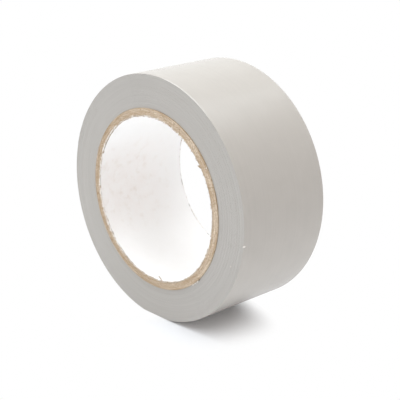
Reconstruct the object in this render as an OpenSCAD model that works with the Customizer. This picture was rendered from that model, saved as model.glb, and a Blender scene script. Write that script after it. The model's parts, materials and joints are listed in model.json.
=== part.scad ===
// Roll of dance floor tape: pale vinyl tape wound on a paper core, with a free end that peels.
// The roll stands on its rim. Its axis lies along Y, its front side faces -Y, and Z is up.
// The origin is the middle of the core's bore.

/* [Core] */
// Inside diameter of the core
core_bore_d = 76.2; // [50:0.1:100]
// Thickness of the white paper liner inside the core
liner_t = 0.2; // [0.1:0.05:0.4]
// Thickness of one kraft paper ply
ply_t = 0.5; // [0.3:0.05:0.8]
// Number of kraft paper plies in the core's wall
ply_count = 7; // [4:1:10]
// How far the core stands out of the tape on each side
core_proud = 0.6; // [0.2:0.1:2]

/* [Tape] */
// Width of the tape, across the roll
tape_w = 49.5; // [20:0.5:100]
// Thickness of the tape, vinyl film and adhesive together
tape_t = 0.143; // [0.1:0.001:0.25]
// Length of tape wound on the core
tape_len = 33000; // [10000:500:50000]
// Where the tape's cut end lies on the roll, in degrees from +X up towards +Z
end_angle = 165; // [150:1:200]

/* [Free end] */
// Length of the free end, which peels off the turn below it
lead_len = 44; // [24:1:60]
// Number of strips that the free end bends in
lead_count = 4; // [3:1:6]
// Gap between the free end and the turn below it
lead_gap = 0.03; // [0.02:0.01:0.1]
// Width of the bend line before each strip of the free end
bend_gap = 0.06; // [0.04:0.01:0.2]

/* [Stance] */
// Depth of the flat that the roll's own weight presses on its rim
flat_depth = 0.5; // [0.2:0.1:1]

/* [Hidden] */
$fn = 128;

core_bore_r = core_bore_d / 2;
core_r = core_bore_r + liner_t + ply_count * ply_t;
core_len = tape_w + 2 * core_proud;

// The tape's side has the same area, laid out straight or wound as a ring round the core.
roll_r = sqrt(core_r ^ 2 + tape_len * tape_t / PI);

// The last turn is two half turns. The second is half a tape thickness wider than the first,
// from a centre that is moved as far, so the turn ends one thickness above its own start.
first_half_r = roll_r - tape_t / 2;
half_step = tape_t / 2;
second_half_r = first_half_r + half_step;

// The flat under the roll, and a length that reaches past it on every side
stand_z = flat_depth - first_half_r;
past = 2 * roll_r;

// The free end lies on the second half turn and stops at the cut end.
lead_r = second_half_r + lead_gap;
lead_angle = arc_angle(lead_len);
strip_angle = lead_angle / lead_count;
bend_angle = arc_angle(bend_gap);

function arc_angle(arc_len) = arc_len / lead_r * 180 / PI;
function ply_r(i) = core_bore_r + liner_t + i * ply_t;

// Turns a side view, X to the right and Z up, into a piece of width w centred on the roll.
module across(w) {
    rotate([90, 0, 0])
        linear_extrude(w, center = true)
            children();
}

module ring(outer_r, inner_r) {
    difference() {
        circle(outer_r);
        circle(inner_r);
    }
}

module above(level) {
    translate([-past, level])
        square(2 * past);
}

module below(level) {
    translate([-past, level - 2 * past])
        square(2 * past);
}

// Side view of the wound tape, taken `depth` under its outer surface, flat where it stands
module wound_tape(depth) {
    intersection() {
        rotate(end_angle) {
            intersection() {
                circle(first_half_r - depth);
                above(0);
            }
            translate([half_step, 0])
                intersection() {
                    circle(second_half_r - depth);
                    below(0);
                }
        }
        above(stand_z + depth);
    }
}

// Side view of a wedge of the second half turn, between two angles before the cut end
module before_cut_end(from, to) {
    rotate(end_angle)
        translate([half_step, 0])
            polygon([
                [0, 0],
                past * [cos(from), -sin(from)],
                past * [cos(to), -sin(to)]
            ]);
}

// White paper liner, the innermost layer of the core
module core_liner() {
    color("#f4f2ee")
        across(core_len)
            ring(ply_r(0), core_bore_r);
}

// One ply of the core's kraft paper wall, counted from the liner outwards
module core_ply(i) {
    color("#c5b097")
        across(core_len)
            ring(ply_r(i), ply_r(i - 1));
}

// Every turn of tape below the last one
module tape_inner_turns() {
    color("#bcbab6")
        across(tape_w)
            difference() {
                wound_tape(tape_t);
                circle(core_r);
            }
}

// The last turn of tape, stuck down from its start to the free end
module tape_outer_turn() {
    color("#dad6d0")
        across(tape_w)
            difference() {
                wound_tape(0);
                wound_tape(tape_t);
                before_cut_end(lead_angle + bend_angle / 2, 0);
            }
}

// One strip of the free end, counted from the stuck-down turn to the cut end
module tape_lead(i) {
    from = lead_angle - (i - 1) * strip_angle - bend_angle / 2;
    to = lead_angle - i * strip_angle + (i < lead_count ? bend_angle / 2 : 0);
    color("#dad6d0")
        across(tape_w)
            intersection() {
                rotate(end_angle)
                    translate([half_step, 0])
                        ring(lead_r, lead_r - tape_t);
                before_cut_end(from, to);
            }
}

core_liner();
for (i = [1 : ply_count]) core_ply(i);
tape_inner_turns();
tape_outer_turn();
for (i = [1 : lead_count]) tape_lead(i);
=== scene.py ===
import json
import math

import bpy
import numpy as np
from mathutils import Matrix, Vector, noise


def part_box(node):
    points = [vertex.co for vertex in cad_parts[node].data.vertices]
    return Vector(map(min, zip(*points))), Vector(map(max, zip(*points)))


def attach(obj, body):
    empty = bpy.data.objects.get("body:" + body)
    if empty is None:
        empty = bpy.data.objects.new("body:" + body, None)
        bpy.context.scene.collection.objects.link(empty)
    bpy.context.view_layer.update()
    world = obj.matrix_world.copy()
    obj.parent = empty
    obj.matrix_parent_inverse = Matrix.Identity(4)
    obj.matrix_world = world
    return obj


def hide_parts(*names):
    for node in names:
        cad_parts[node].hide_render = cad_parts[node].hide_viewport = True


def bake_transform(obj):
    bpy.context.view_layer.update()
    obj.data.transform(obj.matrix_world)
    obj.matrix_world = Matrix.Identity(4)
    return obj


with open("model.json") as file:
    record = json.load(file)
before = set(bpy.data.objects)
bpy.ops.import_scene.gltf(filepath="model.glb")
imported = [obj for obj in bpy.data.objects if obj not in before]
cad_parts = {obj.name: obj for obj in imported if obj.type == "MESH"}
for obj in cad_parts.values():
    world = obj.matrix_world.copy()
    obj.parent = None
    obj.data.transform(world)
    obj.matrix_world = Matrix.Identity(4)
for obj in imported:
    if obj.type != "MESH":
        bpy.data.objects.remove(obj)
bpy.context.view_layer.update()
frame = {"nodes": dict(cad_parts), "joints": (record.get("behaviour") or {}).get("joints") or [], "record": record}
mm = 0.001

# Core liner: a strip of bleached white paper, the first layer wound on the mandrel, so it lines the
# bore. The saw that cuts the finished core to length chips its two ends and scorches short dashes there.
core_bore = next(mount for mount in frame["record"]["mounts"] if mount["name"] == "core_bore")
bore_r = core_bore["dims"]["r_mm"] * mm
liner_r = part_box("core_liner")[1].x
core_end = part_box("core_liner")[1].y

LINER_STEPS = 960
LINER_ROWS = 13
LINER_WAVE = 0.04 * mm
LINER_WAVE_LENGTH = 14 * mm
CHIP_DEPTH = 1.5 * mm
CHIP_LENGTH = 1.5 * mm
CHIP_START = 0.18
NICK_DEPTH = 0.35 * mm
NICK_LENGTH = 0.8 * mm
BACK_SHARE = 0.3
PAPER_CREASE = math.radians(40)


def linear(hex_colour):
    """Turns an sRGB hex colour into Blender's linear RGBA."""
    parts = [int(hex_colour[i : i + 2], 16) / 255 for i in (1, 3, 5)]
    return [c / 12.92 if c <= 0.04045 else ((c + 0.055) / 1.055) ** 2.4 for c in parts] + [1.0]


def add_node(tree, kind, inputs=None, **settings):
    """Adds a node, sets its settings, and sets or links its inputs by name or number."""
    node = tree.nodes.new(kind)
    for name, value in settings.items():
        setattr(node, name, value)
    for socket, value in (inputs or {}).items():
        if isinstance(value, bpy.types.NodeSocket):
            tree.links.new(value, node.inputs[socket])
        else:
            node.inputs[socket].default_value = value
    return node


def new_material(name):
    """Starts a material, and returns it with its node tree and its shader."""
    material = bpy.data.materials.new(name)
    material.use_nodes = True
    return material, material.node_tree, material.node_tree.nodes["Principled BSDF"]


def patch(at, size, seed):
    """Smooth noise from -1 to 1 at a point, with lumps of the given size."""
    return noise.noise(Vector(at) / size + Vector((seed, 2.7 * seed, -1.3 * seed)))


def turned_ring(name, profile, steps, uneven):
    """Turns a closed profile of (radius, y) points round the roll's axis. uneven moves each point."""
    points = []
    for i in range(steps):
        angle = 2 * math.pi * i / steps
        for k, (radius, y) in enumerate(profile):
            out, along = uneven(k, angle)
            reach = radius + out
            points.append((reach * math.cos(angle), y + along, reach * math.sin(angle)))
    count = len(profile)
    faces = []
    for i in range(steps):
        here, there = i * count, (i + 1) % steps * count
        for k in range(count):
            after = (k + 1) % count
            faces.append((here + k, here + after, there + after, there + k))
    mesh = bpy.data.meshes.new(name)
    mesh.from_pydata(points, [], faces)
    mesh.shade_smooth()
    mesh.set_sharp_from_angle(angle=PAPER_CREASE)
    ring = bpy.data.objects.new(name, mesh)
    bpy.context.scene.collection.objects.link(ring)
    return ring


def liner_uneven(k, angle):
    """The liner's slack waves, and the chips along its sawn ends."""
    row = min(k, LINER_ROWS - 1)
    y = core_end * (1 - 2 * row / (LINER_ROWS - 1))
    at = (bore_r * math.cos(angle), y, bore_r * math.sin(angle))
    out = LINER_WAVE * patch(at, LINER_WAVE_LENGTH, 1)
    along = 0
    if k in liner_back_edge or k in liner_front_edge:
        nick = NICK_DEPTH * (0.5 + 0.5 * patch(at, NICK_LENGTH, 2))
        chip = CHIP_DEPTH * max(0, patch(at, CHIP_LENGTH, 3) - CHIP_START)
        along = nick + chip if k in liner_front_edge else -BACK_SHARE * (nick + chip)
    return out, along


liner_rows = [(bore_r, core_end * (1 - 2 * row / (LINER_ROWS - 1))) for row in range(LINER_ROWS)]
liner_front_edge = (LINER_ROWS - 1, LINER_ROWS)
liner_back_edge = (0, LINER_ROWS + 1)
liner = turned_ring(
    "liner_paper", liner_rows + [(liner_r, -core_end), (liner_r, core_end)], LINER_STEPS, liner_uneven
)

# Bleached paper: matt and nearly white, faintly clouded by its pulp. One side is darker and warmer, most
# near its front: partly soiled and smudged by handling, partly painted shade. The broken brown dashes at
# each end are where the saw scorched it.
PULP_CLOUD = 5 * mm
PAPER_GRAIN = 0.35 * mm
SOIL_AND_SHADE_BEARING = math.radians(186)
SOIL_AND_SHADE_REACH = (27 * mm, 41 * mm)
SOIL_AND_SHADE_DEPTH = (26 * mm, -8 * mm)
SOIL_SPECK = 5 * mm
SMUDGE = 3.5 * mm
SCORCH_DASH = 2.2 * mm
SCORCH_WIDTH = 0.6 * mm
SCORCH_FULL = 0.1 * mm

liner_material, tree, shader = new_material("bleached_liner_paper")
place = add_node(tree, "ShaderNodeTexCoord").outputs["Object"]
axes = add_node(tree, "ShaderNodeSeparateXYZ", {0: place})
cloud = add_node(tree, "ShaderNodeTexNoise", {"Vector": place, "Scale": 1 / PULP_CLOUD, "Detail": 3.0})
paper = add_node(
    tree,
    "ShaderNodeMix",
    {"Factor": cloud.outputs["Fac"], "A": linear("#f8f7f5"), "B": linear("#fdfcfb")},
    data_type="RGBA",
)
# Soiling and painted shade: a darker, warmer patch on the bore's left wall, most near its front.
toward_soil_and_shade = add_node(
    tree,
    "ShaderNodeVectorMath",
    {0: place, 1: (math.cos(SOIL_AND_SHADE_BEARING), 0, math.sin(SOIL_AND_SHADE_BEARING))},
    operation="DOT_PRODUCT",
)
soil_and_shade_side = add_node(
    tree,
    "ShaderNodeMapRange",
    {"Value": toward_soil_and_shade.outputs["Value"], "From Min": SOIL_AND_SHADE_REACH[0], "From Max": SOIL_AND_SHADE_REACH[1]},
    interpolation_type="SMOOTHSTEP",
)
soil_and_shade_front = add_node(
    tree,
    "ShaderNodeMapRange",
    {"Value": axes.outputs["Y"], "From Min": SOIL_AND_SHADE_DEPTH[0], "From Max": SOIL_AND_SHADE_DEPTH[1], "To Min": 0.1},
    interpolation_type="SMOOTHSTEP",
)
soil_and_shade_patch = add_node(
    tree, "ShaderNodeMath", {0: soil_and_shade_side.outputs[0], 1: soil_and_shade_front.outputs[0]}, operation="MULTIPLY"
)
speck = add_node(
    tree,
    "ShaderNodeTexNoise",
    {"Vector": place, "Scale": 1 / SOIL_SPECK, "Detail": 6.0, "Roughness": 0.68},
)
specks = add_node(
    tree,
    "ShaderNodeMapRange",
    {"Value": speck.outputs["Fac"], "From Min": 0.3, "From Max": 0.7, "To Min": 0.4, "To Max": 1.1},
)
soil_and_shade = add_node(
    tree, "ShaderNodeMath", {0: soil_and_shade_patch.outputs[0], 1: specks.outputs[0]}, operation="MULTIPLY"
)
soiled_and_shaded = add_node(
    tree,
    "ShaderNodeMix",
    {"Factor": soil_and_shade.outputs[0], "A": paper.outputs["Result"], "B": linear("#f4eeea")},
    data_type="RGBA",
)
smudge = add_node(
    tree, "ShaderNodeTexNoise", {"Vector": place, "Scale": 1 / SMUDGE, "Detail": 4.0, "Roughness": 0.55}
)
smudges = add_node(
    tree, "ShaderNodeMapRange", {"Value": smudge.outputs["Fac"], "From Min": 0.53, "From Max": 0.8}
)
smudge_and_shade = add_node(
    tree, "ShaderNodeMath", {0: soil_and_shade_patch.outputs[0], 1: smudges.outputs[0]}, operation="MULTIPLY"
)
smudged_and_shaded = add_node(
    tree,
    "ShaderNodeMix",
    {"Factor": smudge_and_shade.outputs[0], "A": soiled_and_shaded.outputs["Result"], "B": linear("#e9e1d9")},
    data_type="RGBA",
)
from_middle = add_node(tree, "ShaderNodeMath", {0: axes.outputs["Y"]}, operation="ABSOLUTE")
at_edge = add_node(
    tree,
    "ShaderNodeMapRange",
    {
        "Value": from_middle.outputs[0],
        "From Min": core_end - SCORCH_WIDTH,
        "From Max": core_end - SCORCH_FULL,
    },
)
dash = add_node(tree, "ShaderNodeTexNoise", {"Vector": place, "Scale": 1 / SCORCH_DASH, "Detail": 2.0})
dashes = add_node(
    tree, "ShaderNodeMapRange", {"Value": dash.outputs["Fac"], "From Min": 0.51, "From Max": 0.57}
)
scorch = add_node(
    tree, "ShaderNodeMath", {0: at_edge.outputs[0], 1: dashes.outputs[0]}, operation="MULTIPLY"
)
sawn = add_node(
    tree,
    "ShaderNodeMix",
    {"Factor": scorch.outputs[0], "A": smudged_and_shaded.outputs["Result"], "B": linear("#7f766d")},
    data_type="RGBA",
)
tree.links.new(sawn.outputs["Result"], shader.inputs["Base Color"])
grain = add_node(tree, "ShaderNodeTexNoise", {"Vector": place, "Scale": 1 / PAPER_GRAIN, "Detail": 4.0})
bump = add_node(
    tree, "ShaderNodeBump", {"Height": grain.outputs["Fac"], "Strength": 0.25, "Distance": 0.03 * mm}
)
tree.links.new(bump.outputs[0], shader.inputs["Normal"])
shader.inputs["Roughness"].default_value = 0.78
shader.inputs["IOR"].default_value = 1.47

# The same paper where the saw went through it: matt, browned by the blade, with white fibre between.
sawn_liner_material, tree, shader = new_material("sawn_liner_edge")
place = add_node(tree, "ShaderNodeTexCoord").outputs["Object"]
burnt = add_node(
    tree,
    "ShaderNodeTexNoise",
    {"Vector": place, "Scale": 1 / SCORCH_DASH, "Detail": 5.0, "Roughness": 0.65},
)
burn = add_node(
    tree, "ShaderNodeMapRange", {"Value": burnt.outputs["Fac"], "From Min": 0.38, "From Max": 0.62}
)
browned = add_node(
    tree,
    "ShaderNodeMix",
    {"Factor": burn.outputs[0], "A": linear("#d9cbb8"), "B": linear("#7d6549")},
    data_type="RGBA",
)
tree.links.new(browned.outputs["Result"], shader.inputs["Base Color"])
shader.inputs["Roughness"].default_value = 0.88
shader.inputs["IOR"].default_value = 1.47

liner.data.materials.append(liner_material)
liner.data.materials.append(sawn_liner_material)
sawn_faces = (LINER_ROWS - 1, LINER_ROWS + 1)
face_count = LINER_ROWS + 2
finishes = [int(n % face_count in sawn_faces) for n in range(len(liner.data.polygons))]
liner.data.polygons.foreach_set("material_index", finishes)
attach(liner, "roll")
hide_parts("core_liner")

# Core plies: seven strips of brown kraft paper, wound over the liner and glued one on the other. Only
# their sawn ends show. Each ply breaks a little higher or lower, with a groove at every glue line.
PLY_STEPS = 960
PLY_LEVEL = 0.05 * mm
SAW_TEAR = 0.07 * mm
SAW_TEAR_LENGTH = 1.4 * mm
SAW_FUZZ = 0.05 * mm
SAW_FUZZ_LENGTH = 0.4 * mm
GLUE_GROOVE = 0.06 * mm
GROOVE_SHARE = 0.3
WORN_EDGE = 0.16 * mm
PATTERN_R = 45 * mm
ply_count = sum(node.startswith("core_ply_") for node in frame["nodes"])
ply_radii = [liner_r] + [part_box(f"core_ply_{i + 1}")[1].x for i in range(ply_count)]


def sawn_ply(i):
    """One ply, with its two sawn ends torn and grooved."""
    inner, outer = ply_radii[i], ply_radii[i + 1]
    wall = outer - inner
    face = [inner, inner + GROOVE_SHARE * wall, inner + (1 - GROOVE_SHARE) * wall, outer]
    profile = [(r, -core_end) for r in face] + [(r, core_end) for r in reversed(face)]
    level = PLY_LEVEL * noise.noise(Vector((3.7 * i, 1.1, 0.4)))

    def uneven(k, angle):
        radius, y = profile[k]
        side = 1 if y < 0 else -1
        at = (radius * math.cos(angle), y, radius * math.sin(angle))
        sunk = SAW_TEAR * (0.5 + 0.5 * patch(at, SAW_TEAR_LENGTH, 5 + i)) + level
        sunk += SAW_FUZZ * (0.5 + 0.5 * patch(at, SAW_FUZZ_LENGTH, 20 + i))
        if radius in (inner, outer):
            sunk += WORN_EDGE if radius == ply_radii[-1] else GLUE_GROOVE
        return 0, side * max(0, sunk)

    return turned_ring(f"kraft_ply_{i + 1}", profile, PLY_STEPS, uneven)


def round_the_roll(tree, along, across):
    """Pattern coordinates that run round the roll's axis: lumps `along` the turn and `across` it."""
    spot = add_node(tree, "ShaderNodeTexCoord").outputs["Object"]
    flat = add_node(tree, "ShaderNodeVectorMath", {0: spot, 1: (1, 0, 1)}, operation="MULTIPLY")
    reach = add_node(tree, "ShaderNodeVectorMath", {0: flat.outputs[0]}, operation="LENGTH")
    turn = add_node(tree, "ShaderNodeVectorMath", {0: flat.outputs[0]}, operation="NORMALIZE")
    bearing = add_node(tree, "ShaderNodeSeparateXYZ", {0: turn.outputs[0]})
    lumps = PATTERN_R / along
    sweep = [
        add_node(tree, "ShaderNodeMath", {0: bearing.outputs[axis], 1: lumps}, operation="MULTIPLY")
        for axis in ("X", "Z")
    ]
    layer = add_node(
        tree, "ShaderNodeMath", {0: reach.outputs["Value"], 1: 1 / across}, operation="MULTIPLY"
    )
    return add_node(
        tree,
        "ShaderNodeCombineXYZ",
        {0: sweep[0].outputs[0], 1: layer.outputs[0], 2: sweep[1].outputs[0]},
    ).outputs[0]


# Kraft paperboard, sawn across: warm tan and quite matt, a felt of fibres lying round the core. Painted
# shade darkens it towards its lower left and on its outer rim, where the core stands proud of the tape;
# its inner rim is browned by the saw's scorch and by painted shade. Real fibres are 0.03 mm thick, too
# fine to show, so they are drawn 0.5 mm thick.
FIBRE_LENGTH = 10 * mm
FIBRE_THICKNESS = 0.5 * mm
FIBRE_CLUMP = 0.36 * mm
SCORCH_AND_SHADE_RIM = 0.4 * mm
PAINTED_SHADE_BEARING = math.radians(214)
PAINTED_SHADE_SPREAD = (-30 * mm, 30 * mm)

kraft_material, tree, shader = new_material("sawn_kraft_paperboard")
place = add_node(tree, "ShaderNodeTexCoord").outputs["Object"]
felt = add_node(
    tree,
    "ShaderNodeTexNoise",
    {"Vector": round_the_roll(tree, FIBRE_LENGTH, FIBRE_THICKNESS), "Scale": 1.0, "Detail": 3.0},
)
clump = add_node(tree, "ShaderNodeTexNoise", {"Vector": place, "Scale": 1 / FIBRE_CLUMP, "Detail": 4.0})
fibre = add_node(
    tree, "ShaderNodeMapRange", {"Value": felt.outputs["Fac"], "From Min": 0.36, "From Max": 0.64}
)
pulp = add_node(
    tree, "ShaderNodeMapRange", {"Value": clump.outputs["Fac"], "From Min": 0.40, "From Max": 0.53}
)
tan = add_node(
    tree,
    "ShaderNodeMix",
    {"Factor": fibre.outputs[0], "A": linear("#c8b297"), "B": linear("#efe2cf")},
    data_type="RGBA",
)
mottled = add_node(
    tree,
    "ShaderNodeMix",
    {"Factor": pulp.outputs[0], "A": linear("#9b7f5f"), "B": tan.outputs["Result"]},
    data_type="RGBA",
)
# Painted shade: the board is darker towards its lower left.
toward_painted_shade = add_node(
    tree,
    "ShaderNodeVectorMath",
    {0: place, 1: (math.cos(PAINTED_SHADE_BEARING), 0, math.sin(PAINTED_SHADE_BEARING))},
    operation="DOT_PRODUCT",
)
painted_shade_share = add_node(
    tree,
    "ShaderNodeMapRange",
    {"Value": toward_painted_shade.outputs["Value"], "From Min": PAINTED_SHADE_SPREAD[0], "From Max": PAINTED_SHADE_SPREAD[1]},
    interpolation_type="SMOOTHSTEP",
)
shaded_kraft = add_node(
    tree,
    "ShaderNodeMix",
    {"Factor": painted_shade_share.outputs[0], "A": mottled.outputs["Result"], "B": linear("#f0ece6")},
    data_type="RGBA",
    blend_type="MULTIPLY",
)
flat = add_node(tree, "ShaderNodeVectorMath", {0: place, 1: (1, 0, 1)}, operation="MULTIPLY")
reach = add_node(tree, "ShaderNodeVectorMath", {0: flat.outputs[0]}, operation="LENGTH").outputs["Value"]
# The rims are darkened: the inner one by scorch and painted shade, the outer one by painted shade where the core
# stands proud of the tape.
scorch_and_shade_rims = [
    add_node(
        tree, "ShaderNodeMapRange", {"Value": reach, "From Min": begin, "From Max": end}
    ).outputs[0]
    for begin, end in (
        (ply_radii[0] + SCORCH_AND_SHADE_RIM, ply_radii[0]),
        (ply_radii[-1] - SCORCH_AND_SHADE_RIM / 2, ply_radii[-1]),
    )
]
rim = add_node(tree, "ShaderNodeMath", {0: scorch_and_shade_rims[0], 1: scorch_and_shade_rims[1]}, operation="MAXIMUM")
scorch_and_shade_amount = add_node(
    tree,
    "ShaderNodeMapRange",
    {"Value": clump.outputs["Fac"], "From Min": 0.60, "From Max": 0.40, "To Min": 0.15, "To Max": 0.85},
)
scorched_and_shaded_rim = add_node(
    tree, "ShaderNodeMath", {0: rim.outputs[0], 1: scorch_and_shade_amount.outputs[0]}, operation="MULTIPLY"
)
board = add_node(
    tree,
    "ShaderNodeMix",
    {"Factor": scorched_and_shaded_rim.outputs[0], "A": shaded_kraft.outputs["Result"], "B": linear("#927a5d")},
    data_type="RGBA",
)
tree.links.new(board.outputs["Result"], shader.inputs["Base Color"])
bump = add_node(
    tree, "ShaderNodeBump", {"Height": felt.outputs["Fac"], "Strength": 0.6, "Distance": 0.05 * mm}
)
tree.links.new(bump.outputs[0], shader.inputs["Normal"])
shader.inputs["Roughness"].default_value = 0.85
shader.inputs["IOR"].default_value = 1.45

for i in range(ply_count):
    ply = sawn_ply(i)
    ply.data.materials.append(kraft_material)
    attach(ply, "roll")
    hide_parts(f"core_ply_{i + 1}")

# Torn rims: the ragged fringe round the core's inner edge at both ends. The saw folded the white liner
# out over the first ply, and pulled the first ply's tan paper in over the liner. Each is still part of
# its own layer.
TORN_STEPS = 1440
TORN_WIDTH = 0.25 * mm
WHITE_TEAR = 2.0 * mm
WHITE_TEAR_LENGTH = 0.75 * mm
WHITE_MOST = 0.9 * mm
WHITE_PROUD = 0.04 * mm
WHITE_UNDER = 0.02 * mm
TAN_TEAR = 1.8 * mm
TAN_TEAR_LENGTH = 0.6 * mm
TAN_MOST = 0.5 * mm
TAN_PROUD = 0.02 * mm
TAN_FOOT = 0.1 * mm
TAN_GAPS = 0.12
TAN_GAPS_BACK = 0.4
CLEAN_TEAR = (158, 238)
HALF_TEAR = (60, 158)
HALF_SHARE = 0.6
LEAST_SHARE = 0.25
FIBRE_LUMP = 0.5 * mm

# Loose bleached fibre: the liner's own pulp, fluffed up by the blade, so quite matt and a touch creamy.
fibre_material, tree, shader = new_material("torn_white_fibre")
place = add_node(tree, "ShaderNodeTexCoord").outputs["Object"]
fluff = add_node(tree, "ShaderNodeTexNoise", {"Vector": place, "Scale": 1 / FIBRE_LUMP, "Detail": 3.0})
creamy = add_node(
    tree,
    "ShaderNodeMix",
    {"Factor": fluff.outputs["Fac"], "A": linear("#e6dccf"), "B": linear("#fbfaf8")},
    data_type="RGBA",
)
tree.links.new(creamy.outputs["Result"], shader.inputs["Base Color"])
shader.inputs["Roughness"].default_value = 0.9
shader.inputs["IOR"].default_value = 1.47


def torn_rim(name, middle_y, inner, outer):
    """A ragged fringe round the core's inner edge. inner and outer give its two radii at an angle."""
    profile = [(0, middle_y + side * TORN_WIDTH / 2) for side in (-1, -1, 1, 1)]

    def uneven(k, angle):
        return (inner(angle) if k in (0, 3) else outer(angle)), 0

    return turned_ring(name, profile, TORN_STEPS, uneven)


def torn_share(angle):
    """How far the saw tore the liner's edge at an angle: 1.0 where it tore all of it."""
    if CLEAN_TEAR[0] < math.degrees(angle) < CLEAN_TEAR[1]:
        return 1.0
    return HALF_SHARE if HALF_TEAR[0] < math.degrees(angle) < HALF_TEAR[1] else LEAST_SHARE


def teeth(angle, length, seed, shift):
    """The height of the torn teeth at an angle, from 0 up to about 0.6. A lower shift leaves fewer."""
    at = (liner_r * math.cos(angle), 0, liner_r * math.sin(angle))
    return max(0, patch(at, length, seed) + 0.5 * patch(at, length / 2.3, seed + 1) + shift)


def white_inner(angle):
    """The foot of the liner's torn edge, at the bore where all of the liner is torn."""
    return bore_r if torn_share(angle) == 1.0 else liner_r - WHITE_UNDER


def white_outer(angle):
    """The liner's torn edge, folded out over the first ply."""
    height = WHITE_TEAR * torn_share(angle) * teeth(angle, WHITE_TEAR_LENGTH, 31, 0.0)
    return liner_r + min(WHITE_MOST, height)


def tan_inner(angle):
    """The first ply's torn edge, pulled in over the liner."""
    return liner_r - min(TAN_MOST, TAN_TEAR * teeth(angle, TAN_TEAR_LENGTH, 41, -TAN_GAPS))


def tan_inner_back(angle):
    """The same at the back end, where the cut is cleaner."""
    return liner_r - min(TAN_MOST, TAN_TEAR * teeth(angle, TAN_TEAR_LENGTH, 41, -TAN_GAPS_BACK))


def tan_outer(angle):
    """The foot of the first ply's torn edge."""
    return liner_r + TAN_FOOT


for name, face_y, inward, proud, inner, outer, paper, slot in (
    ("torn_rim_front", -core_end, 1, WHITE_PROUD, white_inner, white_outer, fibre_material, "liner_paper"),
    ("torn_rim_back", core_end, -1, WHITE_PROUD, white_inner, white_outer, fibre_material, "liner_paper"),
    ("tan_rim_front", -core_end, 1, TAN_PROUD, tan_inner, tan_outer, kraft_material, "kraft_paper"),
    ("tan_rim_back", core_end, -1, TAN_PROUD, tan_inner_back, tan_outer, kraft_material, "kraft_paper"),
):
    fringe = torn_rim(name, face_y + inward * (TORN_WIDTH / 2 - proud), inner, outer)
    fringe.data.materials.append(paper)
    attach(fringe, "roll")

# Frayed fibres: short paper fibres that the saw pulled loose along the core's sawn edges, white from
# the liner and tan from the plies. A node tree scatters bent, tapered strands round each edge.
STRAND_SIDES = 3
STRAND_BENDS = 4
STRAND_MIDDLE = (0.25, 0.05, 0.5)
STRAND_TIP = (0.0, 0.3, 0.9)
STRAND_TIP_SHARE = 0.35
STRAND_SHORTEST = 0.35
STRAND_THICKNESS = 0.10 * mm
FRAY_SEED = 7

fray_tree = bpy.data.node_groups.new("frayed_edge", "GeometryNodeTree")
for name, kind in {
    "Edge Radius": "Float",
    "Edge Y": "Float",
    "Edge Spread": "Float",
    "Strands": "Int",
    "Strand Length": "Float",
    "Strand Thickness": "Float",
    "Seed": "Int",
    "Paper": "Material",
}.items():
    fray_tree.interface.new_socket(name, in_out="INPUT", socket_type="NodeSocket" + kind)
fray_tree.interface.new_socket("Geometry", in_out="OUTPUT", socket_type="NodeSocketGeometry")
given = add_node(fray_tree, "NodeGroupInput").outputs
rank = add_node(fray_tree, "GeometryNodeInputIndex").outputs[0]
seeds = [
    add_node(fray_tree, "ShaderNodeMath", {0: given["Seed"], 1: float(n)}, operation="ADD").outputs[0]
    for n in range(4)
]
dots = add_node(fray_tree, "GeometryNodeMeshLine", {"Count": given["Strands"]})
bearing = add_node(
    fray_tree, "FunctionNodeRandomValue", {2: 0.0, 3: 2 * math.pi, "ID": rank, "Seed": seeds[0]}
).outputs[1]
spread = add_node(
    fray_tree, "FunctionNodeRandomValue", {2: -1.0, 3: 1.0, "ID": rank, "Seed": seeds[1]}
).outputs[1]
radius = add_node(
    fray_tree,
    "ShaderNodeMath",
    {0: spread, 1: given["Edge Spread"], 2: given["Edge Radius"]},
    operation="MULTIPLY_ADD",
).outputs[0]
sides = [
    add_node(
        fray_tree,
        "ShaderNodeMath",
        {0: radius, 1: add_node(fray_tree, "ShaderNodeMath", {0: bearing}, operation=wave).outputs[0]},
        operation="MULTIPLY",
    ).outputs[0]
    for wave in ("COSINE", "SINE")
]
root = add_node(
    fray_tree, "ShaderNodeCombineXYZ", {0: sides[0], 1: given["Edge Y"], 2: sides[1]}
).outputs[0]
placed = add_node(
    fray_tree, "GeometryNodeSetPosition", {"Geometry": dots.outputs[0], "Position": root}
).outputs[0]
bow = add_node(
    fray_tree,
    "GeometryNodeCurveQuadraticBezier",
    {"Resolution": STRAND_BENDS, "Start": (0, 0, 0), "Middle": STRAND_MIDDLE, "End": STRAND_TIP},
).outputs[0]
along_strand = add_node(fray_tree, "GeometryNodeSplineParameter").outputs["Factor"]
taper = add_node(
    fray_tree, "ShaderNodeMapRange", {"Value": along_strand, "To Min": 1.0, "To Max": STRAND_TIP_SHARE}
).outputs[0]
slender = add_node(
    fray_tree,
    "ShaderNodeMath",
    {0: given["Strand Thickness"], 1: given["Strand Length"]},
    operation="DIVIDE",
).outputs[0]
strand_section = add_node(
    fray_tree, "GeometryNodeCurvePrimitiveCircle", {"Resolution": STRAND_SIDES, "Radius": slender}
).outputs[0]
strand = add_node(
    fray_tree,
    "GeometryNodeCurveToMesh",
    {"Curve": bow, "Profile Curve": strand_section, "Scale": taper, "Fill Caps": True},
).outputs[0]
lean = add_node(
    fray_tree,
    "FunctionNodeRandomValue",
    {0: (-math.pi, -math.pi, -math.pi), 1: (math.pi, math.pi, math.pi), "ID": rank, "Seed": seeds[2]},
    data_type="FLOAT_VECTOR",
).outputs[0]
turned = add_node(fray_tree, "FunctionNodeEulerToRotation", {0: lean}).outputs[0]
size = add_node(
    fray_tree, "FunctionNodeRandomValue", {2: STRAND_SHORTEST, 3: 1.0, "ID": rank, "Seed": seeds[3]}
).outputs[1]
length = add_node(
    fray_tree, "ShaderNodeMath", {0: size, 1: given["Strand Length"]}, operation="MULTIPLY"
).outputs[0]
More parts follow.
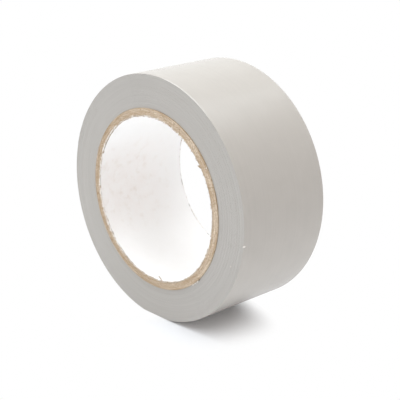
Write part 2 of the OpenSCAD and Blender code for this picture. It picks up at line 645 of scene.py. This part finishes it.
strands = add_node(
    fray_tree,
    "GeometryNodeInstanceOnPoints",
    {"Points": placed, "Instance": strand, "Rotation": turned, "Scale": length},
).outputs[0]
real = add_node(fray_tree, "GeometryNodeRealizeInstances", {"Geometry": strands}).outputs[0]
papered = add_node(
    fray_tree, "GeometryNodeSetMaterial", {"Geometry": real, "Material": given["Paper"]}
).outputs[0]
add_node(fray_tree, "NodeGroupOutput", {0: papered})


def grown(name, tree, values):
    """Runs a node tree with its named inputs set, and keeps the result as a plain mesh piece."""
    piece = bpy.data.objects.new(name, bpy.data.meshes.new(name))
    bpy.context.scene.collection.objects.link(piece)
    recipe = piece.modifiers.new(tree.name, "NODES")
    recipe.node_group = tree
    for socket in tree.interface.items_tree:
        if socket.in_out == "INPUT":
            recipe[socket.identifier] = values[socket.name]
    shaped = piece.evaluated_get(bpy.context.evaluated_depsgraph_get())
    mesh = bpy.data.meshes.new_from_object(shaped)
    piece.modifiers.clear()
    piece.data = mesh
    return piece


for side, edge_y, share in (("front", -core_end, 1.0), ("back", core_end, BACK_SHARE)):
    for name, radius, spread, count, strand_length, paper, slot in (
        ("white", liner_r + 0.1 * mm, 0.2 * mm, 460, 0.8 * mm, fibre_material, "liner_paper"),
        ("tan_inner", liner_r + 0.1 * mm, 0.3 * mm, 300, 0.8 * mm, kraft_material, "kraft_paper"),
        ("tan_outer", ply_radii[-1] - 0.2 * mm, 0.2 * mm, 160, 0.7 * mm, kraft_material, "kraft_paper"),
    ):
        fray = grown(
            f"fray_{name}_{side}",
            fray_tree,
            {
                "Edge Radius": radius,
                "Edge Y": edge_y,
                "Edge Spread": spread,
                "Strands": round(share * count),
                "Strand Length": strand_length,
                "Strand Thickness": STRAND_THICKNESS,
                "Seed": FRAY_SEED,
                "Paper": paper,
            },
        )
        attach(fray, "roll")

# Torn shreds: scraps of paper that the saw left on the front of the roll. Ragged white lips of the liner
# and a flap, a hair and tufts of tan kraft hang on the core's inner edge. Loose white crumbs lie on its
# outer edge and on the tape, and dark brown crumbs beside the white ones are painted shade.
SHRED_PROUD = 0.16 * mm
SHRED_DEEP = 0.25 * mm
CORNER_DEEP = 0.9 * mm
CORNER_SUNK = 0.3 * mm
# The outlines of the shreds, and so these sizes of the lips, are in mm and degrees.
LIP_R = 38.36
LIP_HOLLOW = 0.3
LIP_LEAST = 0.08
LIP_STEP = 0.4
crumb_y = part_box("tape_inner_turns")[0].y


def torn_shreds(name, outlines):
    """Flat scraps on the front of the roll, each an outline of (radius in mm, degrees) points."""
    points, faces = [], []
    for front, deep, outline in outlines:
        flat = []
        for radius, degrees in outline:
            angle = math.radians(degrees)
            flat.append((radius * mm * math.cos(angle), radius * mm * math.sin(angle)))
        area = sum(x0 * z1 - x1 * z0 for (x0, z0), (x1, z1) in zip(flat, flat[1:] + flat[:1]))
        if area < 0:
            flat.reverse()
        count, first = len(flat), len(points)
        points += [(x, front - SHRED_PROUD, z) for x, z in flat]
        points += [(x, front + deep, z) for x, z in flat]
        faces.append(range(first, first + count))
        faces.append(range(first + 2 * count - 1, first + count - 1, -1))
        for k in range(count):
            here, after = first + k, first + (k + 1) % count
            faces.append((here, here + count, after + count, after))
    mesh = bpy.data.meshes.new(name)
    mesh.from_pydata(points, [], faces)
    shreds = bpy.data.objects.new(name, mesh)
    bpy.context.scene.collection.objects.link(shreds)
    return shreds


def crumb(radius, angle, size):
    """The outline of a four-cornered crumb, its size in mm."""
    wide = math.degrees(size / radius)
    return [
        (radius - 0.4 * size, angle + 0.2 * wide),
        (radius + 0.1 * size, angle - 0.6 * wide),
        (radius + 0.45 * size, angle + 0.1 * wide),
        (radius, angle + 0.6 * wide),
    ]


def torn_lip(first, last, height):
    """The outline of a ragged lip of liner between two angles in degrees, its lengths in mm."""
    count = max(3, round((last - first) / LIP_STEP))
    angles = [first + (last - first) * n / count for n in range(count + 1)]
    ragged = [0.5 + 0.5 * noise.noise(Vector((2.1 * angle, 0.7, 3.3))) for angle in angles]
    hollow = [0.5 + 0.5 * noise.noise(Vector((1.3 * angle, 4.1, 0.9))) for angle in angles]
    inner = [(LIP_R + LIP_HOLLOW * gap, angle) for gap, angle in zip(hollow, angles)]
    outer = [(r + LIP_LEAST + height * rag, angle) for (r, angle), rag in zip(inner, ragged)]
    return outer + inner[::-1]


lips = (
    (122.8, 125.0, 0.3),
    (130.2, 133.6, 0.5),
    (134.4, 135.6, 0.3),
    (136.6, 140.6, 0.45),
    (141.7, 145.4, 0.55),
    (146.3, 148.6, 0.4),
    (149.6, 152.4, 0.5),
    (153.6, 157.2, 0.5),
)
white_outlines = [(-core_end, SHRED_DEEP, torn_lip(*lip)) for lip in lips]
white_outlines.append((-core_end, SHRED_DEEP, crumb(41.5, 33.4, 0.6)))
on_corner = -core_end + CORNER_SUNK
corner_crumbs = [crumb(r, a, 0.95) for r, a in ((42.0, -51.9), (42.1, -49.4), (42.1, -47.0))]
white_outlines += [(on_corner, SHRED_DEEP, outline) for outline in corner_crumbs]
rim_crumb = [(56.7, -6.7), (57.05, -7.0), (57.2, -6.6), (56.95, -6.2)]
white_outlines.append((crumb_y, CORNER_DEEP, rim_crumb))
white_outlines.append((crumb_y, SHRED_DEEP, crumb(52.1, -19.7, 0.5)))
tan_outlines = [
    [(38.4, 34.9), (38.4, 37.3), (37.05, 38.0), (37.75, 35.8)],
    [(38.3, -81.9), (37.6, -82.3), (36.8, -83.2), (36.0, -84.8), (36.9, -83.0), (38.3, -81.6)],
    [(38.3, -76.8), (37.6, -76.4), (38.3, -75.7)],
    [(38.3, -74.2), (37.7, -73.8), (38.3, -73.0)],
    [(38.3, -72.3), (37.8, -71.9), (38.3, -71.2)],
]
tan_outlines = [(-core_end, SHRED_DEEP, outline) for outline in tan_outlines]
# Painted shade: dark crumbs beside the white ones on the core's outer edge.
shade_crumbs = [crumb(41.95, -44.5, 1.0), crumb(41.75, -48.2, 0.7), crumb(41.75, -50.6, 0.6)]
shade_outlines = [(-core_end, SHRED_DEEP, outline) for outline in shade_crumbs]
for name, outlines, paper, slot in (
    ("white_shreds", white_outlines, fibre_material, "liner_paper"),
    ("tan_shreds", tan_outlines, kraft_material, "kraft_paper"),
    ("painted_shade_shreds", shade_outlines, sawn_liner_material, "liner_paper"),
):
    shreds = torn_shreds(name, outlines)
    shreds.data.materials.append(paper)
    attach(shreds, "roll")

# Wound tape: one strip of calendered vinyl with adhesive on its inner face, wound from the core out.
# One node tree draws any stretch of it as a thin strip on the spiral, wandering a little sideways.
tape_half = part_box("tape_inner_turns")[1].y
stand_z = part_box("tape_outer_turn")[0].z
core_r = ply_radii[-1]
# These three are the CAD's own: 33 m of tape reaches this radius under its last lap.
TAPE_THICKNESS = 0.143 * mm
CUT_END = math.radians(165)
LAP_START_R = 56.93152 * mm
WANDERS_PER_TURN = 0.9
FACE_MARGIN = 0.01 * mm
BRIM_MARGIN = 0.001 * mm
LOW_SINE = -0.5
GIVE_POWER = 3
total_turns = (LAP_START_R - core_r) / TAPE_THICKNESS
lap_start = total_turns - 1

tape_tree = bpy.data.node_groups.new("wound_tape", "GeometryNodeTree")
for name, kind in {
    "Start Turn": "Float",
    "End Turn": "Float",
    "Points": "Int",
    "First Radius": "Float",
    "Turn Step": "Float",
    "First Bearing": "Float",
    "Tape Width": "Float",
    "Tape Thickness": "Float",
    "Edge Roll": "Float",
    "Side Wander": "Float",
    "Seed": "Float",
    "Film": "Material",
    "Slit Edge": "Material",
    "Adhesive": "Material",
}.items():
    tape_tree.interface.new_socket(name, in_out="INPUT", socket_type="NodeSocket" + kind)
tape_tree.interface.new_socket("Geometry", in_out="OUTPUT", socket_type="NodeSocketGeometry")
given = add_node(tape_tree, "NodeGroupInput").outputs
line = add_node(tape_tree, "GeometryNodeCurvePrimitiveLine").outputs[0]
path = add_node(
    tape_tree, "GeometryNodeResampleCurve", {"Curve": line, "Count": given["Points"]}
).outputs[0]
along_path = add_node(tape_tree, "GeometryNodeSplineParameter").outputs["Factor"]
turn = add_node(
    tape_tree,
    "ShaderNodeMapRange",
    {"Value": along_path, "To Min": given["Start Turn"], "To Max": given["End Turn"]},
).outputs[0]
bearing = add_node(
    tape_tree,
    "ShaderNodeMath",
    {0: turn, 1: 2 * math.pi, 2: given["First Bearing"]},
    operation="MULTIPLY_ADD",
).outputs[0]
radius = add_node(
    tape_tree,
    "ShaderNodeMath",
    {0: turn, 1: given["Turn Step"], 2: given["First Radius"]},
    operation="MULTIPLY_ADD",
).outputs[0]
seeded = add_node(tape_tree, "ShaderNodeMath", {0: turn, 1: given["Seed"]}, operation="ADD").outputs[0]
wander = add_node(
    tape_tree,
    "ShaderNodeTexNoise",
    {"W": seeded, "Scale": WANDERS_PER_TURN, "Detail": 3.0},
    noise_dimensions="1D",
).outputs["Fac"]
off_middle = add_node(tape_tree, "ShaderNodeMath", {0: wander, 1: 0.5}, operation="SUBTRACT").outputs[0]
sideways = add_node(
    tape_tree, "ShaderNodeMath", {0: off_middle, 1: given["Side Wander"]}, operation="MULTIPLY"
).outputs[0]
sides = [
    add_node(
        tape_tree,
        "ShaderNodeMath",
        {0: radius, 1: add_node(tape_tree, "ShaderNodeMath", {0: bearing}, operation=wave).outputs[0]},
        operation="MULTIPLY",
    ).outputs[0]
    for wave in ("COSINE", "SINE")
]
spiral_point = add_node(
    tape_tree, "ShaderNodeCombineXYZ", {0: sides[0], 1: sideways, 2: sides[1]}
).outputs[0]
spiral = add_node(
    tape_tree, "GeometryNodeSetPosition", {"Geometry": path, "Position": spiral_point}
).outputs[0]
spot = add_node(tape_tree, "GeometryNodeInputPosition").outputs[0]
outward = add_node(
    tape_tree, "ShaderNodeVectorMath", {0: spot, 1: (1, 0, 1)}, operation="MULTIPLY"
).outputs[0]
faced = add_node(
    tape_tree, "GeometryNodeSetCurveNormal", {"Curve": spiral, "Normal": outward}, mode="FREE"
).outputs[0]
tape_length = add_node(tape_tree, "GeometryNodeSplineParameter").outputs["Length"]
lengthways = add_node(
    tape_tree,
    "GeometryNodeStoreNamedAttribute",
    {"Geometry": faced, "Name": "along_tape", "Value": tape_length},
).outputs[0]
square = add_node(
    tape_tree,
    "GeometryNodeCurvePrimitiveQuadrilateral",
    {"Width": given["Tape Thickness"], "Height": given["Tape Width"]},
).outputs[0]
corner_spot = add_node(tape_tree, "GeometryNodeInputPosition").outputs[0]
corner = add_node(tape_tree, "ShaderNodeSeparateXYZ", {0: corner_spot}).outputs
film_side = add_node(
    tape_tree, "FunctionNodeCompare", {0: corner["X"], 1: 0.0}, operation="GREATER_THAN"
).outputs[0]
corner_side = add_node(tape_tree, "ShaderNodeMath", {0: corner["Y"]}, operation="SIGN").outputs[0]
rolled_in = add_node(
    tape_tree, "ShaderNodeMath", {0: corner_side, 1: given["Edge Roll"]}, operation="MULTIPLY"
).outputs[0]
rolled_y = add_node(
    tape_tree, "ShaderNodeMath", {0: corner["Y"], 1: rolled_in}, operation="SUBTRACT"
).outputs[0]
rolled_corner = add_node(tape_tree, "ShaderNodeCombineXYZ", {0: corner["X"], 1: rolled_y}).outputs[0]
section = add_node(
    tape_tree,
    "GeometryNodeSetPosition",
    {"Geometry": square, "Selection": film_side, "Position": rolled_corner},
).outputs[0]
for name, axis in {"tape_depth": "X", "across_tape": "Y"}.items():
    spot = add_node(tape_tree, "GeometryNodeInputPosition").outputs[0]
    place = add_node(tape_tree, "ShaderNodeSeparateXYZ", {0: spot}).outputs[axis]
    section = add_node(
        tape_tree,
        "GeometryNodeStoreNamedAttribute",
        {"Geometry": section, "Name": name, "Value": place},
    ).outputs[0]
strip = add_node(
    tape_tree,
    "GeometryNodeCurveToMesh",
    {"Curve": lengthways, "Profile Curve": section, "Fill Caps": True},
).outputs[0]
depth = add_node(tape_tree, "GeometryNodeInputNamedAttribute", {"Name": "tape_depth"}).outputs[0]
across = add_node(tape_tree, "GeometryNodeInputNamedAttribute", {"Name": "across_tape"}).outputs[0]
inside = add_node(
    tape_tree, "FunctionNodeCompare", {0: depth, 1: -FACE_MARGIN}, operation="LESS_THAN"
).outputs[0]
brim = add_node(
    tape_tree,
    "ShaderNodeMath",
    {0: given["Tape Width"], 1: 0.5, 2: -BRIM_MARGIN},
    operation="MULTIPLY_ADD",
).outputs[0]
off_centre = add_node(tape_tree, "ShaderNodeMath", {0: across}, operation="ABSOLUTE").outputs[0]
at_side = add_node(
    tape_tree, "FunctionNodeCompare", {0: off_centre, 1: brim}, operation="GREATER_THAN"
).outputs[0]
strip = add_node(tape_tree, "GeometryNodeRealizeInstances", {"Geometry": strip}).outputs[0]
for finish, where in {"Film": True, "Adhesive": inside, "Slit Edge": at_side}.items():
    strip = add_node(
        tape_tree,
        "GeometryNodeSetMaterial",
        {"Geometry": strip, "Selection": where, "Material": given[finish]},
    ).outputs[0]
add_node(tape_tree, "NodeGroupOutput", {0: strip})

# Calendered soft vinyl: pale warm grey and satin, with a faint grain from the rolls and long, weak
# streaks along the tape. The real grain is about 0.05 mm, too fine to show, so it is drawn at 0.4 mm.
FILM_GRAIN = 0.4 * mm
FILM_CLOUD = 9 * mm
STREAK_LENGTH = 120 * mm
STREAK_WIDTH = 0.9 * mm

film_material, tree, shader = new_material("calendered_vinyl_film")
on_tape = add_node(
    tree,
    "ShaderNodeCombineXYZ",
    {
        0: add_node(tree, "ShaderNodeAttribute", attribute_name="along_tape").outputs["Fac"],
        1: add_node(tree, "ShaderNodeAttribute", attribute_name="across_tape").outputs["Fac"],
    },
).outputs[0]
cloud = add_node(tree, "ShaderNodeTexNoise", {"Vector": on_tape, "Scale": 1 / FILM_CLOUD, "Detail": 3.0})
stretched = add_node(
    tree, "ShaderNodeMapping", {"Vector": on_tape, "Scale": (1 / STREAK_LENGTH, 1 / STREAK_WIDTH, 1)}
).outputs[0]
streak = add_node(tree, "ShaderNodeTexNoise", {"Vector": stretched, "Scale": 1.0, "Detail": 2.0})
uneven_tone = add_node(
    tree, "ShaderNodeMath", {0: cloud.outputs["Fac"], 1: streak.outputs["Fac"]}, operation="ADD"
)
tone = add_node(
    tree, "ShaderNodeMapRange", {"Value": uneven_tone.outputs[0], "From Min": 0.6, "From Max": 1.4}
)
vinyl = add_node(
    tree,
    "ShaderNodeMix",
    {"Factor": tone.outputs[0], "A": linear("#b9b4ad"), "B": linear("#beb9b2")},
    data_type="RGBA",
)
tree.links.new(vinyl.outputs["Result"], shader.inputs["Base Color"])
grain = add_node(tree, "ShaderNodeTexNoise", {"Vector": on_tape, "Scale": 1 / FILM_GRAIN, "Detail": 2.0})
satin = add_node(
    tree,
    "ShaderNodeMapRange",
    {"Value": streak.outputs["Fac"], "From Min": 0.3, "From Max": 0.7, "To Min": 0.23, "To Max": 0.25},
)
tree.links.new(satin.outputs[0], shader.inputs["Roughness"])
bump = add_node(
    tree, "ShaderNodeBump", {"Height": grain.outputs["Fac"], "Strength": 0.15, "Distance": 0.01 * mm}
)
tree.links.new(bump.outputs[0], shader.inputs["Normal"])
shader.inputs["IOR"].default_value = 1.53

# Slit edge of the vinyl: where the blade parted the web, matt and a shade cooler than the film. The turns
# differ a little in tone. Each is 0.14 mm thick, too thin to show, so the tone changes over about 0.6 mm.
EDGE_BAND = 0.6 * mm
EDGE_DRAG = 30 * mm

edge_material, tree, shader = new_material("slit_vinyl_edge")
on_edge = round_the_roll(tree, EDGE_DRAG, EDGE_BAND)
bands = add_node(
    tree,
    "ShaderNodeTexNoise",
    {"Vector": on_edge, "Scale": 1.0, "Detail": 3.0, "Roughness": 0.65},
)
band = add_node(
    tree, "ShaderNodeMapRange", {"Value": bands.outputs["Fac"], "From Min": 0.3, "From Max": 0.7}
)
slit = add_node(
    tree,
    "ShaderNodeMix",
    {"Factor": band.outputs[0], "A": linear("#b6b3ae"), "B": linear("#bebbb6")},
    data_type="RGBA",
)
tree.links.new(slit.outputs["Result"], shader.inputs["Base Color"])
bump = add_node(
    tree, "ShaderNodeBump", {"Height": bands.outputs["Fac"], "Strength": 0.3, "Distance": 0.04 * mm}
)
tree.links.new(bump.outputs[0], shader.inputs["Normal"])
shader.inputs["Roughness"].default_value = 0.55
shader.inputs["IOR"].default_value = 1.53

# Pressure-sensitive adhesive: a thin clear rubber coat over the grey film, so it is a shade yellower
# than the film and about as glossy, with a fine orange peel from the coater.
PEEL = 0.8 * mm

adhesive_material, tree, shader = new_material("rubber_adhesive_coat")
place = add_node(tree, "ShaderNodeTexCoord").outputs["Object"]
peel = add_node(tree, "ShaderNodeTexNoise", {"Vector": place, "Scale": 1 / PEEL, "Detail": 3.0})
coat = add_node(
    tree,
    "ShaderNodeMix",
    {"Factor": peel.outputs["Fac"], "A": linear("#b9b4a8"), "B": linear("#c2bdb1")},
    data_type="RGBA",
)
tree.links.new(coat.outputs["Result"], shader.inputs["Base Color"])
bump = add_node(
    tree, "ShaderNodeBump", {"Height": peel.outputs["Fac"], "Strength": 0.3, "Distance": 0.03 * mm}
)
tree.links.new(bump.outputs[0], shader.inputs["Normal"])
shader.inputs["Roughness"].default_value = 0.28
shader.inputs["IOR"].default_value = 1.5


def wound_strip(name, start, end, points_per_turn, thickness, edge_roll, wander, lift=0.0):
    """A stretch of the wound tape between two turns, counted from the core."""
    return grown(
        name,
        tape_tree,
        {
            "Start Turn": start,
            "End Turn": end,
            "Points": round((end - start) * points_per_turn) + 1,
            "First Radius": core_r + TAPE_THICKNESS / 2 + lift,
            "Turn Step": TAPE_THICKNESS,
            "First Bearing": CUT_END - 2 * math.pi * total_turns,
            "Tape Width": 2 * tape_half,
            "Tape Thickness": thickness,
            "Edge Roll": edge_roll,
            "Side Wander": wander,
            "Seed": 3.0,
            "Film": film_material,
            "Slit Edge": edge_material,
            "Adhesive": adhesive_material,
        },
    )


def press_flat(strip):
    """Presses the flat that the roll stands on. The outer turns give way most, the core not at all."""
    points = np.empty(len(strip.data.vertices) * 3)
    strip.data.vertices.foreach_get("co", points)
    points = points.reshape(-1, 3)
    reach = np.hypot(points[:, 0], points[:, 2])
    bearing = np.arctan2(points[:, 2], points[:, 0])
    last_lap = np.mod(bearing - CUT_END, 2 * math.pi) / (2 * math.pi)
    rim = LAP_START_R + TAPE_THICKNESS * last_lap
    floor_reach = stand_z / np.minimum(np.sin(bearing), LOW_SINE)
    pressed = np.maximum(0, rim - floor_reach)
    share = np.clip((reach - core_r) / (rim - core_r), 0, 1) ** GIVE_POWER
    points[:, [0, 2]] *= (1 - pressed * share / reach)[:, None]
    strip.data.vertices.foreach_set("co", points.ravel())
    strip.data.update()


# Inner turns: all the tape under the last lap, some 105 turns. Only their slit edges show, at the two
# sides of the roll, where each turn stands a few hundredths of a millimetre in or out. The first turn
# starts within the core, so that no gap shows beside it.
INNER_POINTS_PER_TURN = 144
FIRST_TURN = -1.0
AIR_BETWEEN = 0.004 * mm
SIDE_WANDER = 0.11 * mm
inner_thickness = TAPE_THICKNESS - AIR_BETWEEN
inner_turns = wound_strip(
    "inner_turns", FIRST_TURN, lap_start, INNER_POINTS_PER_TURN, inner_thickness, 0.0, SIDE_WANDER
)
press_flat(inner_turns)
inner_turns.data.shade_flat()
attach(inner_turns, "roll")
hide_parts("tape_inner_turns")

# Outer lap: the last turn, stuck down all round until the free end begins. Its film is the band that
# shows. The slitting blade rolled its corners over, so they catch the light. That is some 0.1 mm wide,
# too fine to show, so it is drawn 0.5 mm wide.
LAP_POINTS_PER_TURN = 720
EDGE_ROLL = 0.5 * mm
ROLL_CREASE = math.radians(10)
PEEL_BEND = 1.0 * mm
hinges = [Vector(joint["pos_m"]) for joint in frame["joints"]]
bends = [total_turns - (CUT_END - math.atan2(hinge.z, hinge.x)) / (2 * math.pi) for hinge in hinges]
stuck_end = bends[0] - PEEL_BEND / (2 * math.pi * hinges[0].length)
outer_lap = wound_strip(
    "outer_lap", lap_start, stuck_end, LAP_POINTS_PER_TURN, TAPE_THICKNESS, EDGE_ROLL, 0.0
)
press_flat(outer_lap)
outer_lap.data.shade_smooth()
outer_lap.data.set_sharp_from_angle(angle=ROLL_CREASE)
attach(outer_lap, "roll")
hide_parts("tape_outer_turn")

# Free end: the tape's last stretch, cut straight across. It lies on the lap below, drawn in quarters with
# a hinge about the middle of each, the first one near its start, where the tape leaves the lap.
FREE_LIFT = 0.01 * mm
quarter_turn = (total_turns - bends[0]) / len(bends)
starts = [stuck_end] + [bend - quarter_turn / 2 for bend in bends[1:]]
ends = starts[1:] + [total_turns]
for i, (start, end) in enumerate(zip(starts, ends)):
    quarter = wound_strip(
        f"free_end_{i + 1}", start, end, LAP_POINTS_PER_TURN, TAPE_THICKNESS, EDGE_ROLL, 0.0, FREE_LIFT
    )
    quarter.data.shade_smooth()
    quarter.data.set_sharp_from_angle(angle=ROLL_CREASE)
    reach = hinges[i].length
    bearing = math.atan2(hinges[i].z, hinges[i].x)
    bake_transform(quarter)
    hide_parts(f"tape_lead_{i + 1}")

# Studio: a pale floor that keeps the roll's shadow and turns plain white further out, and a white
# surround, at full strength only to the camera, gloss and glass. Softboxes stand overhead, behind and
# in front.
FLOOR_HALF = 3.0
SHADOW_MIDDLE = (-39.7 * mm, -7.2 * mm, 0)
SHADOW_HALF = (93 * mm, 36.4 * mm, 1)
SHADOW_TURN = (0, 0, math.radians(-7.9))
SHADOW_FADE = (0.68, 1.0)
SHADOW_LIFT = 0.063
LIT_SIDE = (12 * mm, -2 * mm)
AMBIENT = 0.57


def seen_directly(tree):
    """1 for rays of the camera, gloss and glass, which see the background plain white, and 0 for light."""
    rays = add_node(tree, "ShaderNodeLightPath").outputs
    seen = rays["Is Camera Ray"]
    for kind in ("Is Glossy Ray", "Is Transmission Ray"):
        seen = add_node(tree, "ShaderNodeMath", {0: seen, 1: rays[kind]}, operation="MAXIMUM").outputs[0]
    return seen


floor_mesh = bpy.data.meshes.new("studio_floor")
corners = [(x * FLOOR_HALF, y * FLOOR_HALF, stand_z) for x, y in ((-1, -1), (1, -1), (1, 1), (-1, 1))]
floor_mesh.from_pydata(corners, [], [(0, 1, 2, 3)])
floor = bpy.data.objects.new("studio_floor", floor_mesh)
bpy.context.scene.collection.objects.link(floor)
floor_material, tree, shader = new_material("white_studio_floor")
shader.inputs["Base Color"].default_value = linear("#f8fafd")
shader.inputs["Roughness"].default_value = 0.9
shader.inputs["Specular IOR Level"].default_value = 0.0
place = add_node(tree, "ShaderNodeTexCoord").outputs["Object"]
offset = add_node(
    tree,
    "ShaderNodeMapping",
    {"Vector": place, "Location": SHADOW_MIDDLE, "Rotation": SHADOW_TURN, "Scale": SHADOW_HALF},
    vector_type="TEXTURE",
).outputs[0]
squared = add_node(tree, "ShaderNodeVectorMath", {0: offset, 1: offset}, operation="MULTIPLY").outputs[0]
on_floor = add_node(tree, "ShaderNodeVectorMath", {0: squared, 1: (1, 1, 0)}, operation="MULTIPLY")
away = add_node(tree, "ShaderNodeVectorMath", {0: on_floor.outputs[0]}, operation="LENGTH")
plain = add_node(
    tree,
    "ShaderNodeMapRange",
    {
        "Value": away.outputs["Value"],
        "From Min": SHADOW_FADE[0] ** 2,
        "From Max": SHADOW_FADE[1] ** 2,
        "To Min": SHADOW_LIFT,
    },
    interpolation_type="SMOOTHSTEP",
)
rightward = add_node(tree, "ShaderNodeSeparateXYZ", {0: place}).outputs["X"]
lit = add_node(
    tree,
    "ShaderNodeMapRange",
    {"Value": rightward, "From Min": LIT_SIDE[0], "From Max": LIT_SIDE[1]},
    interpolation_type="SMOOTHSTEP",
)
clean = add_node(tree, "ShaderNodeMath", {0: plain.outputs[0], 1: lit.outputs[0]}, operation="MAXIMUM")
shown = add_node(
    tree, "ShaderNodeMath", {0: seen_directly(tree), 1: clean.outputs[0]}, operation="MULTIPLY"
)
white = add_node(tree, "ShaderNodeEmission", {"Color": (1, 1, 1, 1), "Strength": 1.0})
mixed = add_node(
    tree,
    "ShaderNodeMixShader",
    {0: shown.outputs[0], 1: shader.outputs[0], 2: white.outputs[0]},
)
tree.links.new(mixed.outputs[0], tree.nodes["Material Output"].inputs["Surface"])
floor.data.materials.append(floor_material)

world = bpy.data.worlds.new("white_surround")
bpy.context.scene.world = world
world.use_nodes = True
tree = world.node_tree
clear = seen_directly(tree)
strength = add_node(tree, "ShaderNodeMapRange", {"Value": clear, "To Min": AMBIENT, "To Max": 1.0})
warmth = add_node(
    tree,
    "ShaderNodeMix",
    {"Factor": clear, "A": linear("#fff7f3"), "B": linear("#ffffff")},
    data_type="RGBA",
)
background = tree.nodes["Background"]
tree.links.new(warmth.outputs["Result"], background.inputs["Color"])
tree.links.new(strength.outputs[0], background.inputs["Strength"])

# Each softbox: its bearing from +X towards +Y and its height in degrees, its distance, width, height,
# radiance and tint.
for name, bearing, height, distance, size, radiance, tint in (
    ("top_softbox", 165, 74, 1.1, (1.0, 1.0), 3.4, "#f4fbff"),
    ("back_softbox", 75, 62, 1.2, (0.7, 0.7), 1.21, "#f4fbff"),
    ("front_softbox", 270, 60, 1.1, (0.8, 0.8), 1.83, "#f4fbff"),
):
    lamp = bpy.data.lights.new(name, "AREA")
    lamp.shape = "RECTANGLE"
    lamp.size, lamp.size_y = size
    lamp.energy = radiance * math.pi * size[0] * size[1]
    lamp.color = linear(tint)[:3]
    level = math.cos(math.radians(height))
    toward = Vector(
        (
            level * math.cos(math.radians(bearing)),
            level * math.sin(math.radians(bearing)),
            math.sin(math.radians(height)),
        )
    )
    softbox = bpy.data.objects.new(name, lamp)
    softbox.location = distance * toward
    softbox.rotation_mode = "QUATERNION"
    softbox.rotation_quaternion = (-toward).to_track_quat("-Z", "Y")
    bpy.context.scene.collection.objects.link(softbox)

# Camera: level, above and to the right of the front side, at the photograph's angle and distance. Its
# place, aim and lens are fitted to the outlines of the bore, the core and the roll's two rims.
CAMERA_PLACE = Vector((368.58, -341.60, 166.77)) * mm
CAMERA_AIM = (2.501, -5.549)
CAMERA_LENS = 103.117

back = CAMERA_PLACE.normalized()
right = Vector((-back.y, back.x, 0)).normalized()
up = back.cross(right)
aim = (CAMERA_AIM[0] * right + CAMERA_AIM[1] * up) * mm
camera_data = bpy.data.cameras.new("camera")
camera_data.sensor_width = 36
camera_data.lens = CAMERA_LENS
camera_data.clip_start = 0.01
camera = bpy.data.objects.new("camera", camera_data)
camera.location = CAMERA_PLACE
camera.rotation_mode = "QUATERNION"
camera.rotation_quaternion = (aim - CAMERA_PLACE).to_track_quat("-Z", "Y")
bpy.context.scene.collection.objects.link(camera)
bpy.context.scene.camera = camera
bpy.context.scene.view_settings.view_transform = "Standard"
